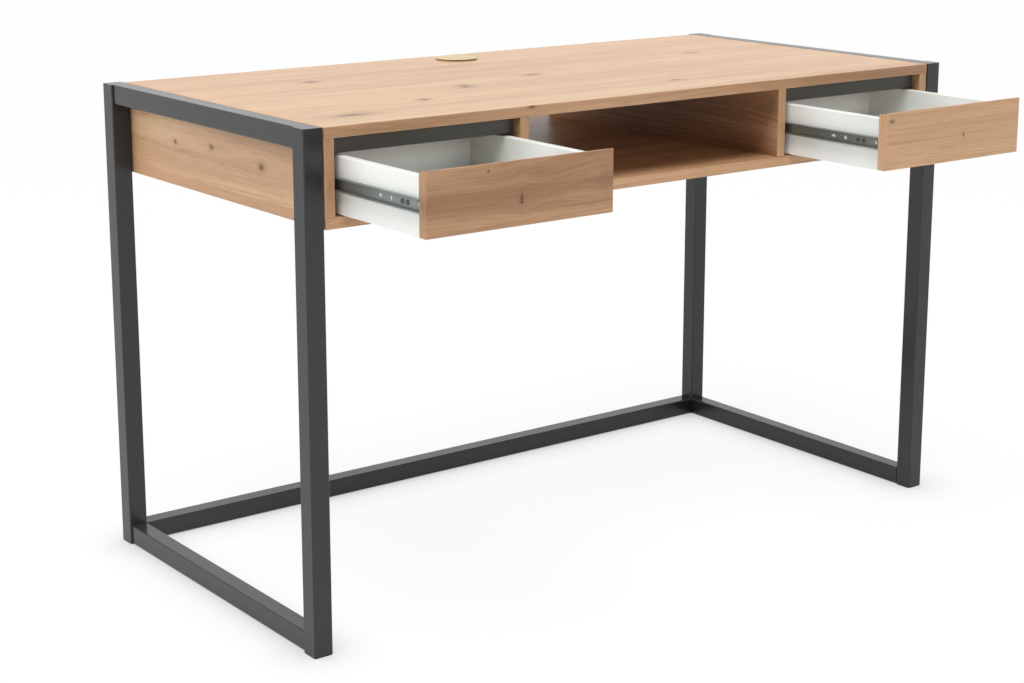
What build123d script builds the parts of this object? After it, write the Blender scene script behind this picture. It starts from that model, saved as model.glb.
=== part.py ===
from build123d import *
import os

# A straight writing desk: two loop-shaped side frames of square steel tube carry an
# oak-look board carcass with a drawer bay at each end and an open bay in the middle.
# Millimetres. Origin on the floor under the middle of the frame, +X to the sitter's
# right, +Y to the back, +Z up. The drawers are modelled pulled out to their stops.

# Overall sizes
overall_width = 1250.0
overall_depth = 600.0
overall_height = 750.0

# Steel frame
leg_size = 30.0
rail_width = 27.0
rail_height = 30.0
tube_wall = 1.5
tube_corner = 2.0
glide_head = 1.0
glide_plug = 18.0
glide_wall = 2.0
glide_inset = 0.4
spigot_length = 45.0
slip_fit = 0.3

# Board carcass
board = 16.0
carcass_gap = 2.0
carcass_height = 140.0
carcass_back_gap = 10.0
drawer_bay = 312.0
edge_break = 0.8
grip_rail_height = 24.0
grip_rail_thickness = 16.0

# Joining hardware, where small round pieces are drawn with flats
round_flats = 10
pin_flats = 6
ring_flats = 24
dowel_diameter = 8.0
dowel_length = 30.0
dowel_in_face = 11.0
dowel_setback = 70.0
bolt_diameter = 5.0
bolt_head_diameter = 9.0
bolt_head_height = 2.8
bolt_head_gap = 0.5
bolt_end = 3.0
bolt_setback = 150.0
nut_width = 8.0
nut_height = 4.0
spacer_diameter = 12.0
hole_clearance = 0.2
screw_diameter = 3.5
screw_head_diameter = 7.0
screw_head_height = 1.8
screw_length = 11.0

# Cable outlet in the desk top
outlet_hole_diameter = 60.0
outlet_back_distance = 60.0
sleeve_wall = 2.0
sleeve_depth = 15.0
sleeve_flange_diameter = 67.0
sleeve_flange_height = 1.2
cap_diameter = 72.0
cap_rim_height = 1.0
cap_crown_height = 1.8
cap_flat_diameter = 30.0
cap_plug_depth = 4.0
cap_clearance = 0.6

# Drawers
drawer_travel = 212.0
front_thickness = 16.0
front_floor_gap = 4.0
finger_gap = 16.0
front_side_gap = 2.5
front_grip_drop = 3.0
front_stop_gap = 0.5
box_length = 300.0
box_floor_gap = 2.0
box_top_gap = 26.0
box_board = 12.0
bottom_thickness = 3.0
bottom_lift = 8.0
groove_depth = 5.0
groove_clearance = 0.1
box_dowel_diameter = 6.0
box_dowel_length = 24.0
box_dowel_inset = 16.0

# Ball-bearing drawer slides
slide_thickness = 10.0
slide_height = 27.0
slide_length = 300.0
slide_sheet = 1.2
slide_centre_height = 42.0
slide_setback = 3.0
ball_diameter = 3.4
ball_clearance = 0.3
ball_depth = 5.4
balls_per_row = 4
ball_pitch = 20.0
outer_lip = 0.6
inner_lip = 1.3
cage_sheet = 0.6
cage_length = 80.0
cage_window = 11.0
cage_tie = 13.0
cage_end_gap = 4.0
slide_hole_diameter = 6.0
slide_round_hole_diameter = 7.0
keyhole_slot_width = 3.6
keyhole_slot_length = 6.0
end_hole_place = 8.0
screw_places = (32.0, 44.0, 268.0)
round_hole_place = 71.0
keyhole_place = 95.0
cabinet_screw_places = (100.0, 268.0)

# Places worked out from the sizes above
leg_inner = overall_width / 2 - leg_size
front_plane = -overall_depth / 2
back_plane = overall_depth / 2
rail_start = front_plane + leg_size
rail_end = back_plane - leg_size
low_rail_z = glide_head + rail_height / 2
stretcher_y = back_plane - leg_size / 2
carcass_side = leg_inner - carcass_gap
carcass_back = back_plane - carcass_back_gap
carcass_bottom = overall_height - carcass_height
bay_floor = carcass_bottom + board
bay_ceiling = overall_height - board
bay_outer = carcass_side - board
bay_inner = bay_outer - drawer_bay
middle_bay_side = bay_inner - board
outlet_y = carcass_back - outlet_back_distance
bolt_z = bay_ceiling - bolt_head_gap - bolt_head_diameter / 2
bolt_rows = (front_plane + bolt_setback, carcass_back - bolt_setback)
dowel_rows = (front_plane + dowel_setback, carcass_back - dowel_setback)
closed_front = front_plane
grip_rail_y = closed_front + front_thickness + front_stop_gap
open_front = closed_front - drawer_travel
box_front = open_front + front_thickness
front_bottom = bay_floor + front_floor_gap
front_top = bay_ceiling - finger_gap
box_bottom = bay_floor + box_floor_gap
box_top = bay_ceiling - box_top_gap
box_side_offset = slide_thickness
slide_z = box_bottom + slide_centre_height
cabinet_slide_y = closed_front + front_thickness + slide_setback
drawer_slide_y = box_front + slide_setback
cage_y = cabinet_slide_y + cage_end_gap
ball_row = slide_height / 2 - slide_sheet - ball_clearance - ball_diameter / 2
race_inner = ball_diameter / 2 + ball_clearance
race_outer = race_inner + slide_sheet


def block(x, y, z):
    """A box between the low and high values given for each axis."""
    size = (x[1] - x[0], y[1] - y[0], z[1] - z[0])
    return Pos(x[0], y[0], z[0]) * Box(*size, align=(Align.MIN, Align.MIN, Align.MIN))


def along_y(profile, start, length):
    """Extrudes an X-Z profile from start towards the back."""
    return Pos(0, start, 0) * extrude(Plane.XZ * profile, -length)


def along_x(profile, start, length):
    """Extrudes a Y-Z profile from start towards the right."""
    return Pos(start, 0, 0) * extrude(Plane.YZ * profile, length)


def tube_profile(width, height):
    """A square-tube section with rounded outer corners, centred."""
    bore = Rectangle(width - 2 * tube_wall, height - 2 * tube_wall)
    return RectangleRounded(width, height, tube_corner) - bore


def rod(diameter, length, flats):
    """A round piece or hole along Z from the origin, drawn with flats around it."""
    return extrude(RegularPolygon(diameter / 2, flats), length)


def drill(diameter, depth):
    """A hole to both sides of the origin along Z."""
    return Pos(0, 0, -depth) * rod(diameter, 2 * depth, round_flats)


def mirrored(solid):
    """The same piece for the other side of the desk or drawer."""
    return mirror(solid, about=Plane.YZ)


# Steel frame

def leg(side, back):
    """An upright tube with a welded top, open below for its glide."""
    x = side * (overall_width / 2 - leg_size / 2)
    y = (back_plane - leg_size / 2) if back else (front_plane + leg_size / 2)
    height = overall_height - glide_head
    outside = extrude(RectangleRounded(leg_size, leg_size, tube_corner), height)
    bore_size = leg_size - 2 * tube_wall
    bore = extrude(Rectangle(bore_size, bore_size), height - tube_wall)
    return Pos(x, y, glide_head) * (outside - bore)


def rail(side, low):
    """A side tube butted between the two legs, flush with their inner faces."""
    x = side * (leg_inner + rail_width / 2)
    z = low_rail_z if low else overall_height - rail_height / 2
    tube = Pos(x, 0, z) * along_y(tube_profile(rail_width, rail_height), rail_start, rail_end - rail_start)
    if low:
        return tube
    for row in bolt_rows:
        tube -= bolt_hole(side, row)
    return tube


def rear_stretcher():
    """The tube across the back, slipped over a spigot at each end."""
    profile = Pos(stretcher_y, low_rail_z) * tube_profile(leg_size, rail_height)
    tube = along_x(profile, -leg_inner, 2 * leg_inner)
    for side in (-1, 1):
        tube -= stretcher_screw_hole(side)
    return tube


def stretcher_spigots():
    """Short tubes welded to the back legs, inside the ends of the stretcher."""
    width = leg_size - 2 * tube_wall - 2 * slip_fit
    height = rail_height - 2 * tube_wall - 2 * slip_fit
    ring = Rectangle(width, height) - Rectangle(width - 2 * tube_wall, height - 2 * tube_wall)
    profile = Pos(stretcher_y, low_rail_z) * ring
    spigot = along_x(profile, -leg_inner, spigot_length) - stretcher_screw_hole(-1)
    return Compound(children=[spigot, mirrored(spigot)])


def stretcher_screw_place(side):
    """Where the locking screw enters the back face of the stretcher."""
    return Pos(side * (leg_inner - spigot_length / 2), back_plane, low_rail_z)


def stretcher_screw_hole(side):
    """A clearance hole through the back walls of the stretcher and its spigot."""
    depth = 2 * tube_wall + 2 * slip_fit
    return stretcher_screw_place(side) * Rot(90, 0, 0) * drill(screw_diameter + 2 * hole_clearance, depth)


def stretcher_screws():
    """One pan-head screw at each end of the stretcher, driven from behind."""
    return Compound(children=[stretcher_screw_place(s) * Rot(-90, 0, 0) * pan_screw() for s in (-1, 1)])


def foot_glides():
    """Plastic plugs with a thin flat head under the four legs."""
    head_size = leg_size - 2 * glide_inset
    plug_size = leg_size - 2 * tube_wall - 2 * slip_fit
    head = extrude(Rectangle(head_size, head_size), glide_head)
    head = chamfer(head.edges().filter_by(Axis.Z), tube_corner)
    core_size = plug_size - 2 * glide_wall
    plug = extrude(Rectangle(plug_size, plug_size), glide_head + glide_plug)
    core = Pos(0, 0, glide_head) * extrude(Rectangle(core_size, core_size), glide_plug)
    glide = head + plug - core
    reach_x = overall_width / 2 - leg_size / 2
    reach_y = overall_depth / 2 - leg_size / 2
    return Compound(children=[Pos(x, y, 0) * glide for x in (-reach_x, reach_x) for y in (-reach_y, reach_y)])


# Fasteners

def pan_screw():
    """A pan-head screw pointing down, with the underside of its head at the origin."""
    head = rod(screw_head_diameter, screw_head_height, round_flats)
    return head + rod(screw_diameter, -screw_length, pin_flats)


def bolt_hole(side, row):
    """A clearance hole for a frame bolt through side board and rail wall."""
    hole = drill(bolt_diameter + 2 * hole_clearance, board + carcass_gap + 2 * tube_wall)
    return Pos(side * bay_outer, row, bolt_z) * Rot(0, 90, 0) * hole


def at_frame_bolts(make):
    """Copies of a piece at each bolt that holds the carcass to the side frames."""
    left = [Pos(-bay_outer, row, bolt_z) * Rot(0, -90, 0) * make for row in bolt_rows]
    return Compound(children=left + [mirrored(piece) for piece in left])


def frame_bolts():
    """Button-head bolts from inside the drawer bays into the top rails."""
    reach = board + carcass_gap + tube_wall + nut_height + bolt_end
    head = rod(bolt_head_diameter, -bolt_head_height, round_flats)
    return at_frame_bolts(head + rod(bolt_diameter, reach, round_flats))


def frame_nuts():
    """Weld nuts inside the top rails."""
    nut = extrude(RegularPolygon(nut_width / 2, 6, major_radius=False, rotation=30), nut_height)
    nut -= drill(bolt_diameter + 2 * hole_clearance, 2 * nut_height)
    return at_frame_bolts(Pos(0, 0, board + carcass_gap + tube_wall) * nut)


def frame_spacers():
    """Washers that keep the carcass clear of the frames."""
    washer = rod(spacer_diameter, carcass_gap, round_flats)
    washer -= drill(bolt_diameter + 2 * hole_clearance, 2 * carcass_gap)
    return at_frame_bolts(Pos(0, 0, board) * washer)


def carcass_dowels():
    """Dowels that pin the uprights, grip rails and back boards of the carcass."""
    pin = rod(dowel_diameter, dowel_length, pin_flats)
    side_centre = carcass_side - board / 2
    divider_centre = bay_inner - board / 2
    pins = []
    for x in (-side_centre, -divider_centre, divider_centre, side_centre):
        for y in dowel_rows:
            pins.append(Pos(x, y, bay_ceiling + dowel_in_face - dowel_length) * pin)
            pins.append(Pos(x, y, bay_floor - dowel_in_face) * pin)
    cross_rows = (
        (grip_rail_y + grip_rail_thickness / 2, bay_ceiling - grip_rail_height / 2),
        (carcass_back - board / 2, (bay_floor + bay_ceiling) / 2),
    )
    for y, z in cross_rows:
        left = Pos(-bay_outer - dowel_in_face, y, z) * Rot(0, 90, 0) * pin
        right = Pos(-bay_inner + dowel_in_face, y, z) * Rot(0, -90, 0) * pin
        pins += [left, right, mirrored(left), mirrored(right)]
    return pins


# Board carcass

def top_panel():
    """The desk top, flush with the frame, with the cable outlet hole near its back edge."""
    panel = block((-carcass_side, carcass_side), (front_plane, carcass_back), (bay_ceiling, overall_height))
    top_edges = panel.faces().sort_by(Axis.Z)[-1].edges()
    front_edge = panel.faces().sort_by(Axis.Y)[0].edges().sort_by(Axis.Z)[0]
    panel = chamfer([*top_edges, front_edge], edge_break)
    hole = rod(outlet_hole_diameter, -2 * board, ring_flats)
    return panel - Pos(0, outlet_y, overall_height) * hole


def bottom_panel():
    """The carcass floor, as wide as the top."""
    panel = block((-carcass_side, carcass_side), (front_plane, carcass_back), (carcass_bottom, bay_floor))
    front_edges = panel.faces().sort_by(Axis.Y)[0].edges().filter_by(Axis.X)
    low_edges = panel.faces().sort_by(Axis.Z)[0].edges().filter_by(Axis.Y)
    return chamfer([*front_edges, *low_edges], edge_break)


def upright(inner, outer):
    """A board standing between floor and top, with its front edges broken."""
    panel = block((inner, outer), (front_plane, carcass_back), (bay_floor, bay_ceiling))
    return chamfer(panel.faces().sort_by(Axis.Y)[0].edges().filter_by(Axis.Z), edge_break)


def side_panel(side):
    """An outer upright, drilled for the bolts into its frame."""
    panel = upright(bay_outer, carcass_side)
    for row in bolt_rows:
        panel -= bolt_hole(1, row)
    return panel if side > 0 else mirrored(panel)


def divider(side):
    """An upright between a drawer bay and the open middle bay."""
    panel = upright(middle_bay_side, bay_inner)
    return panel if side > 0 else mirrored(panel)


def back_panel(side):
    """The board that closes the back of a drawer bay."""
    panel = block((bay_inner, bay_outer), (carcass_back - board, carcass_back), (bay_floor, bay_ceiling))
    return panel if side > 0 else mirrored(panel)


def grip_rail(side):
    """The dark rail set back behind the finger gap, which stops the drawer front."""
    depth = (grip_rail_y, grip_rail_y + grip_rail_thickness)
    panel = block((bay_inner, bay_outer), depth, (bay_ceiling - grip_rail_height, bay_ceiling))
    panel = chamfer(panel.faces().sort_by(Axis.Z)[0].edges().filter_by(Axis.X), edge_break)
    return panel if side > 0 else mirrored(panel)


# Cable outlet

def outlet_sleeve():
    """A flanged ring set in the hole of the desk top."""
    outer = outlet_hole_diameter - 2 * hole_clearance
    flange = rod(sleeve_flange_diameter, sleeve_flange_height, ring_flats)
    ring = flange + rod(outer, -sleeve_depth, ring_flats)
    bore = Pos(0, 0, -2 * sleeve_depth) * rod(outer - 2 * sleeve_wall, 4 * sleeve_depth, ring_flats)
    return Pos(0, outlet_y, overall_height) * (ring - bore)


def outlet_cap():
    """A low crowned lid with a plug that drops into the sleeve."""
    disc = rod(cap_diameter, cap_rim_height + cap_crown_height, ring_flats)
    face = disc.faces().sort_by(Axis.Z)[-1]
    slope = (cap_diameter - cap_flat_diameter) / 2
    disc = chamfer(face.edges(), slope, cap_crown_height, reference=face)
    plug_diameter = outlet_hole_diameter - 2 * (hole_clearance + sleeve_wall + cap_clearance)
    plug = rod(plug_diameter, -cap_plug_depth, ring_flats)
    return Pos(0, outlet_y, overall_height + sleeve_flange_height) * (disc + plug)


# Ball-bearing slides, drawn with the cabinet wall at x = 0, the drawer towards +X,
# the middle of the slide at z = 0 and the front end at y = 0

def race(sign, above, limit):
    """The rounded track beside one ball row, cut off at a height from the ball centres."""
    ring = Circle(race_outer) - Circle(race_inner)
    reach = 2 * race_outer
    centre = sign * (limit + reach / 2) if above else sign * (-limit - reach / 2)
    kept = ring & Pos(0, centre) * Rectangle(2 * reach, reach)
    return Pos(ball_depth, sign * ball_row) * kept


def strip(x, z):
    """A flat stretch of the folded sheet, between two values on each axis."""
    size = (x[1] - x[0], z[1] - z[0])
    return Pos(x[0], z[0]) * Rectangle(*size, align=(Align.MIN, Align.MIN))


def channel(web, shoulder, arm, above, limit):
    """A sheet channel: a web, two arms and a ball race at the end of each arm."""
    profile = strip(web, (-shoulder, shoulder))
    for sign in (-1, 1):
        levels = sorted((sign * shoulder, sign * (shoulder - slide_sheet)))
        profile += strip(arm, levels)
        profile += race(sign, above, limit)
    return profile


def web_hole(diameter, place, x):
    """A hole through the web of a slide member."""
    return Pos(x, place, 0) * Rot(0, 90, 0) * drill(diameter, 2 * slide_sheet)


def cabinet_member():
    """The outer channel, screwed to the wall of the bay."""
    shoulder = ball_row + outer_lip + slide_sheet
    arm_end = ball_depth - (race_inner**2 - outer_lip**2) ** 0.5 - slide_sheet / 2
    profile = channel((0, slide_sheet), shoulder, (0, arm_end), True, outer_lip)
    member = along_y(profile, 0, slide_length)
    for place in cabinet_screw_places:
        member -= web_hole(screw_head_diameter + 2 * hole_clearance, place, slide_sheet / 2)
    return member


def drawer_member():
    """The inner channel, screwed to the drawer side, with its holes and keyhole slot."""
    shoulder = ball_row - inner_lip
    arm_start = ball_depth + (race_inner**2 - inner_lip**2) ** 0.5 + slide_sheet / 2
    web = (slide_thickness - slide_sheet, slide_thickness)
    profile = channel(web, shoulder, (arm_start, slide_thickness), False, inner_lip)
    member = along_y(profile, 0, slide_length)
    middle = slide_thickness - slide_sheet / 2
    for place in screw_places:
        member -= web_hole(screw_diameter + 2 * hole_clearance, place, middle)
    member -= web_hole(slide_hole_diameter, end_hole_place, middle)
    member -= web_hole(slide_round_hole_diameter, round_hole_place, middle)
    member -= web_hole(slide_hole_diameter, keyhole_place, middle)
    slot = Box(4 * slide_sheet, keyhole_slot_length, keyhole_slot_width)
    return member - Pos(middle, keyhole_place + keyhole_slot_length / 2, 0) * slot


def ball_places():
    """The distance of each ball from the front end of its cage."""
    first = cage_length / 2 - ball_pitch * (balls_per_row - 1) / 2
    return [first + ball_pitch * step for step in range(balls_per_row)]


def ball_cage():
    """A folded strip that keeps the balls of both rows in step."""
    back = (slide_sheet + ball_clearance, slide_sheet + ball_clearance + cage_sheet)
    edge = ball_row + cage_sheet / 2
    arm = (back[0], 2 * ball_depth - back[1])
    profile = strip(back, (-edge, edge))
    for sign in (-1, 1):
        profile += strip(arm, sorted((sign * edge, sign * (edge - cage_sheet))))
    cage = along_y(profile, 0, cage_length)
    pocket = ball_diameter + 2 * hole_clearance
    for place in ball_places():
        for sign in (-1, 1):
            cage -= Pos(ball_depth, place, sign * ball_row) * Box(pocket, pocket, 4 * cage_sheet)
    ends = (cage_tie, cage_length - cage_tie)
    return cage - block((0, 2 * back[1]), ends, (-cage_window / 2, cage_window / 2))


def slide_balls():
    """The steel balls of one slide, drawn with flats inside their true diameter."""
    corner = ball_diameter * (1 - 0.5**0.5)
    cube = Box(ball_diameter, ball_diameter, ball_diameter)
    ball = chamfer(cube.edges(), corner)
    rows = [(place, sign * ball_row) for place in ball_places() for sign in (-1, 1)]
    return Compound(children=[Pos(ball_depth, y, z) * ball for y, z in rows])


def slide_pair(bay_side, start, piece):
    """A slide piece at the left and at the right wall of a bay, from one drawing."""
    walls = (-bay_outer, -bay_inner) if bay_side < 0 else (bay_inner, bay_outer)
    left = Pos(walls[0], start, slide_z) * piece
    right = Pos(walls[1], start, slide_z) * mirrored(piece)
    return {"left": left, "right": right}


def cabinet_screws():
    """Flush screws that hold the outer channels to the bay walls."""
    head = rod(screw_head_diameter, slide_sheet, round_flats)
    flush = head + rod(screw_diameter, -screw_length, pin_flats)
    drawn = [Pos(0, place, 0) * Rot(0, 90, 0) * flush for place in cabinet_screw_places]
    screws = []
    for bay_side in (-1, 1):
        for screw in drawn:
            screws += slide_pair(bay_side, cabinet_slide_y, screw).values()
    return Compound(children=screws)


def drawer_screws(bay_side):
    """Pan-head screws that hold the inner channels to the drawer sides."""
    turned = Pos(slide_thickness - slide_sheet, 0, 0) * Rot(0, -90, 0) * pan_screw()
    screws = []
    for place in screw_places:
        screws += slide_pair(bay_side, drawer_slide_y, Pos(0, place, 0) * turned).values()
    return Compound(children=screws)


# Drawer box

def drawer_front(bay):
    """The inset front: its top slopes down to the back as a grip, a groove takes the bottom."""
    outline = Polyline(
        (open_front, front_bottom),
        (box_front, front_bottom),
        (box_front, front_top - front_grip_drop),
        (open_front, front_top),
        close=True,
    )
    width = drawer_bay - 2 * front_side_gap
    front = along_x(make_face(outline), bay[0] + front_side_gap, width)
    face_edges = front.faces().sort_by(Axis.Y)[0].edges()
    front = chamfer(face_edges, edge_break)
    return front - bottom_groove(bay)


def bottom_groove(bay):
    """The space that the drawer bottom takes in the front and the sides."""
    inside = box_side_offset + box_board - groove_depth
    x = (bay[0] + inside - groove_clearance, bay[1] - inside + groove_clearance)
    y = (box_front - groove_depth - groove_clearance, box_front + box_length + 1)
    low = box_bottom + bottom_lift
    return block(x, y, (low - groove_clearance, low + bottom_thickness + groove_clearance))


def drawer_bottom(bay):
    """A thin board slid into the grooves from behind."""
    inside = box_side_offset + box_board - groove_depth
    low = box_bottom + bottom_lift
    y = (box_front - groove_depth, box_front + box_length)
    return block((bay[0] + inside, bay[1] - inside), y, (low, low + bottom_thickness))


def drawer_side(bay, right):
    """A white side board with the groove for the bottom."""
    start = bay[1] - box_side_offset - box_board if right else bay[0] + box_side_offset
    panel = block(
        (start, start + box_board),
        (box_front, box_front + box_length),
        (box_bottom, box_top),
    )
    panel = chamfer(panel.faces().sort_by(Axis.Z)[-1].edges().filter_by(Axis.Y), edge_break)
    return panel - bottom_groove(bay)


def drawer_back(bay):
    """The back board between the sides, standing on the bottom."""
    inside = box_side_offset + box_board
    end = box_front + box_length
    low = box_bottom + bottom_lift + bottom_thickness
    return block((bay[0] + inside, bay[1] - inside), (end - box_board, end), (low, box_top))


def drawer_dowels(bay):
    """Dowels from the sides into the front, and through the sides into the back."""
    pin = rod(box_dowel_diameter, box_dowel_length, pin_flats)
    heights = (box_bottom + 1.5 * box_dowel_inset, box_top - box_dowel_inset)
    side_centres = (bay[0] + box_side_offset + box_board / 2, bay[1] - box_side_offset - box_board / 2)
    pins = [
        Pos(x, box_front + box_dowel_length / 2, z) * Rot(90, 0, 0) * pin
        for x in side_centres
        for z in heights
    ]
    back_y = box_front + box_length - box_board / 2
    back_z = sum(heights) / 2
    pins.append(Pos(side_centres[0] - box_board / 4, back_y, back_z) * Rot(0, 90, 0) * pin)
    pins.append(Pos(side_centres[1] + box_board / 4, back_y, back_z) * Rot(0, -90, 0) * pin)
    return pins


def drawer_pieces(name, bay_side):
    """Every piece of one drawer and its two slides, by node name."""
    bay = (-bay_outer, -bay_inner) if bay_side < 0 else (bay_inner, bay_outer)
    pins = drawer_dowels(bay)
    pieces = {
        f"{name}_front": drawer_front(bay) - pins,
        f"{name}_left_side": drawer_side(bay, False) - pins,
        f"{name}_right_side": drawer_side(bay, True) - pins,
        f"{name}_back": drawer_back(bay) - pins,
        f"{name}_bottom": drawer_bottom(bay),
        f"{name}_dowels": Compound(children=pins),
        f"{name}_slide_screws": drawer_screws(bay_side),
    }
    drawn = {
        "cabinet_slide": (cabinet_slide_y, cabinet_member()),
        "drawer_slide": (drawer_slide_y, drawer_member()),
        "ball_cage": (cage_y, ball_cage()),
        "slide_balls": (cage_y, slide_balls()),
    }
    for kind, (start, piece) in drawn.items():
        for hand, placed in slide_pair(bay_side, start, piece).items():
            pieces[f"{name}_{hand}_{kind}"] = placed
    return pieces


def all_pieces():
    """Every node of the desk, by name."""
    pieces = {}
    pins = carcass_dowels()
    for word, side in (("left", -1), ("right", 1)):
        pieces[f"{word}_front_leg"] = leg(side, False)
        pieces[f"{word}_rear_leg"] = leg(side, True)
        pieces[f"{word}_top_rail"] = rail(side, False)
        pieces[f"{word}_bottom_rail"] = rail(side, True)
        pieces[f"{word}_side_panel"] = side_panel(side) - pins
        pieces[f"{word}_divider"] = divider(side) - pins
        pieces[f"{word}_back_panel"] = back_panel(side) - pins
        pieces[f"{word}_grip_rail"] = grip_rail(side) - pins
        pieces.update(drawer_pieces(f"{word}_drawer", side))
    pieces["rear_stretcher"] = rear_stretcher()
    pieces["stretcher_spigots"] = stretcher_spigots()
    pieces["stretcher_screws"] = stretcher_screws()
    pieces["foot_glides"] = foot_glides()
    pieces["top_panel"] = top_panel() - pins
    pieces["bottom_panel"] = bottom_panel() - pins
    pieces["carcass_dowels"] = Compound(children=pins)
    pieces["frame_bolts"] = frame_bolts()
    pieces["frame_nuts"] = frame_nuts()
    pieces["frame_spacers"] = frame_spacers()
    pieces["cabinet_slide_screws"] = cabinet_screws()
    pieces["outlet_sleeve"] = outlet_sleeve()
    pieces["outlet_cap"] = outlet_cap()
    return pieces


os.makedirs("parts", exist_ok=True)
for node, shape in all_pieces().items():
    export_step(shape, f"parts/{node}.step")
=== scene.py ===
import math
from typing import NamedTuple

import bpy
import numpy as np
from bpy.props import FloatProperty, FloatVectorProperty, IntProperty, PointerProperty
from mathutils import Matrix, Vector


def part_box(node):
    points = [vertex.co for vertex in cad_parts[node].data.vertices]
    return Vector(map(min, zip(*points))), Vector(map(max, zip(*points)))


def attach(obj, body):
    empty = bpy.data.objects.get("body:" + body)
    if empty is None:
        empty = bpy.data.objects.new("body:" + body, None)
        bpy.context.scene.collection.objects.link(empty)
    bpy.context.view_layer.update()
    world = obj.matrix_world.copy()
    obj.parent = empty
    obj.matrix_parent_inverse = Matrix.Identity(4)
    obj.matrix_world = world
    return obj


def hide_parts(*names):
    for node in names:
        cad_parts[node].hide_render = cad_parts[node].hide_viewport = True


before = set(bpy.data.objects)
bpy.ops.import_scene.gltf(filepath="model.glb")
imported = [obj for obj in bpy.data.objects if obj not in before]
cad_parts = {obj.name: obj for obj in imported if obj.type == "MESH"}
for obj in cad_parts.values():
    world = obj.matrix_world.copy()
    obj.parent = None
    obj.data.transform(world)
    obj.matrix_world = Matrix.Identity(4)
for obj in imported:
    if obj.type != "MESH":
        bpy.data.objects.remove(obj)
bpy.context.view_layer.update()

bl_info = {
    "name": "Writing desk",
    "version": (1, 0, 0),
    "blender": (4, 5, 0),
    "location": "View3D > Sidebar > Desk",
    "description": "Finishes, small fittings and stage of a steel-framed oak desk with two drawers",
    "category": "Object",
}

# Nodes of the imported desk, by finish

SIDES = ("left", "right")
DRAWERS = ("left_drawer", "right_drawer")
FRAME_NODES = [f"{s}_{n}" for s in SIDES for n in ("front_leg", "rear_leg", "top_rail", "bottom_rail")]
BOX_NODES = [f"{d}_{n}" for d in DRAWERS for n in ("left_side", "right_side", "back")]
SLIDE_NODES = [
    f"{d}_{s}_{n}" for d in DRAWERS for s in SIDES for n in ("cabinet_slide", "drawer_slide", "ball_cage")
]

# Places of the board faces that carry knots

LOW, HIGH = 0, 1
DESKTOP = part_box("top_panel")[HIGH].z
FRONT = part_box("left_drawer_front")[LOW].y
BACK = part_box("left_back_panel")[HIGH].y
LEFT_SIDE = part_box("left_side_panel")[LOW].x
RIGHT_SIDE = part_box("right_side_panel")[HIGH].x
BAY_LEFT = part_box("left_divider")[HIGH].x
BAY_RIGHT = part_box("right_divider")[LOW].x
BAY_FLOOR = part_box("bottom_panel")[HIGH].z
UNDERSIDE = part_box("bottom_panel")[LOW].z


# Oak boards

class Knot(NamedTuple):
    """A knot: its place along the grain, across it and through the board, and the radius of its core.

    Stretch draws it out along the grain. Darkness is the strength of its heart, from 0 to 1.
    """

    along: float
    across: float
    through: float
    core: float
    stretch: float
    darkness: float


class Band(NamedTuple):
    """A broad streak along a board: its place across the grain, its half width and its change of tone."""

    place: float
    half_width: float
    change: float


class Board(NamedTuple):
    """How an oak board is cut and how it looks.

    The axes are the one along the grain, the one across it and the one through the board. Faces that
    look along the grain show the end strip, whose grain follows the end axes. Ripeness is the general
    tone, from light to dark wood, and on some boards it also holds painted shade. Depth is how strongly
    the figure stands out. The strips value is painted shade on the edge faces: how much darker they are,
    or lighter where it is below 0.
    """

    name: str
    nodes: tuple
    axes: str
    end_axes: str
    knots: tuple
    ripeness: float
    depth: float
    strips: float = 0.0
    bands: tuple = ()
    gloss: float = 0.42


DESKTOP_KNOTS = (
    Knot(-0.193, -0.064, DESKTOP, 0.0085, 0.85, 1.0),
    Knot(-0.203, -0.080, DESKTOP, 0.0060, 1.4, 0.9),
    Knot(-0.333, -0.156, DESKTOP, 0.0062, 1.5, 1.0),
    Knot(-0.028, -0.018, DESKTOP, 0.0085, 2.0, 0.8),
    Knot(-0.360, 0.116, DESKTOP, 0.0090, 1.6, 0.85),
    Knot(-0.504, -0.227, DESKTOP, 0.0120, 2.6, 0.75),
    Knot(0.115, -0.205, DESKTOP, 0.0070, 2.2, 0.7),
    Knot(0.385, 0.060, DESKTOP, 0.0085, 2.0, 0.7),
    Knot(-0.244, -0.301, DESKTOP - 0.002, 0.0026, 2.6, 0.9),
)
SIDE_KNOTS = (
    Knot(0.126, 0.677, LEFT_SIDE, 0.0032, 1.3, 0.9),
    Knot(0.013, 0.683, LEFT_SIDE, 0.0036, 1.3, 0.9),
    Knot(-0.131, 0.673, LEFT_SIDE, 0.0050, 1.4, 0.9),
    Knot(0.060, 0.655, RIGHT_SIDE, 0.0042, 1.4, 0.9),
)
DIVIDER_KNOTS = (
    Knot(-0.215, 0.690, BAY_RIGHT, 0.0045, 1.5, 0.6),
    Knot(0.080, 0.660, BAY_LEFT, 0.0040, 1.5, 0.6),
)
LOWER_KNOTS = (
    Knot(0.105, -0.205, BAY_FLOOR, 0.0045, 3.0, 0.8),
    Knot(-0.330, 0.050, UNDERSIDE, 0.0065, 1.8, 0.8),
    Knot(0.360, -0.110, UNDERSIDE, 0.0055, 1.6, 0.8),
)
LEFT_FRONT_KNOTS = (
    Knot(-0.423, 0.6740, FRONT, 0.0054, 0.15, 0.90),
    Knot(-0.423, 0.6670, FRONT, 0.0052, 0.55, 1.0),
    Knot(-0.423, 0.6615, FRONT, 0.0022, 1.8, 0.95),
    Knot(-0.477, 0.708, FRONT, 0.0016, 1.2, 1.0),
    Knot(-0.279, 0.685, FRONT, 0.0100, 1.3, 0.42),
    Knot(-0.284, 0.671, FRONT, 0.0095, 1.5, 0.42),
    Knot(-0.364, 0.722, FRONT, 0.0140, 2.0, 0.05),
)
RIGHT_FRONT_KNOTS = (
    Knot(0.443, 0.670, FRONT, 0.0036, 0.5, 0.85),
    Knot(0.279, 0.705, FRONT, 0.0030, 2.0, 0.75),
)
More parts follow.
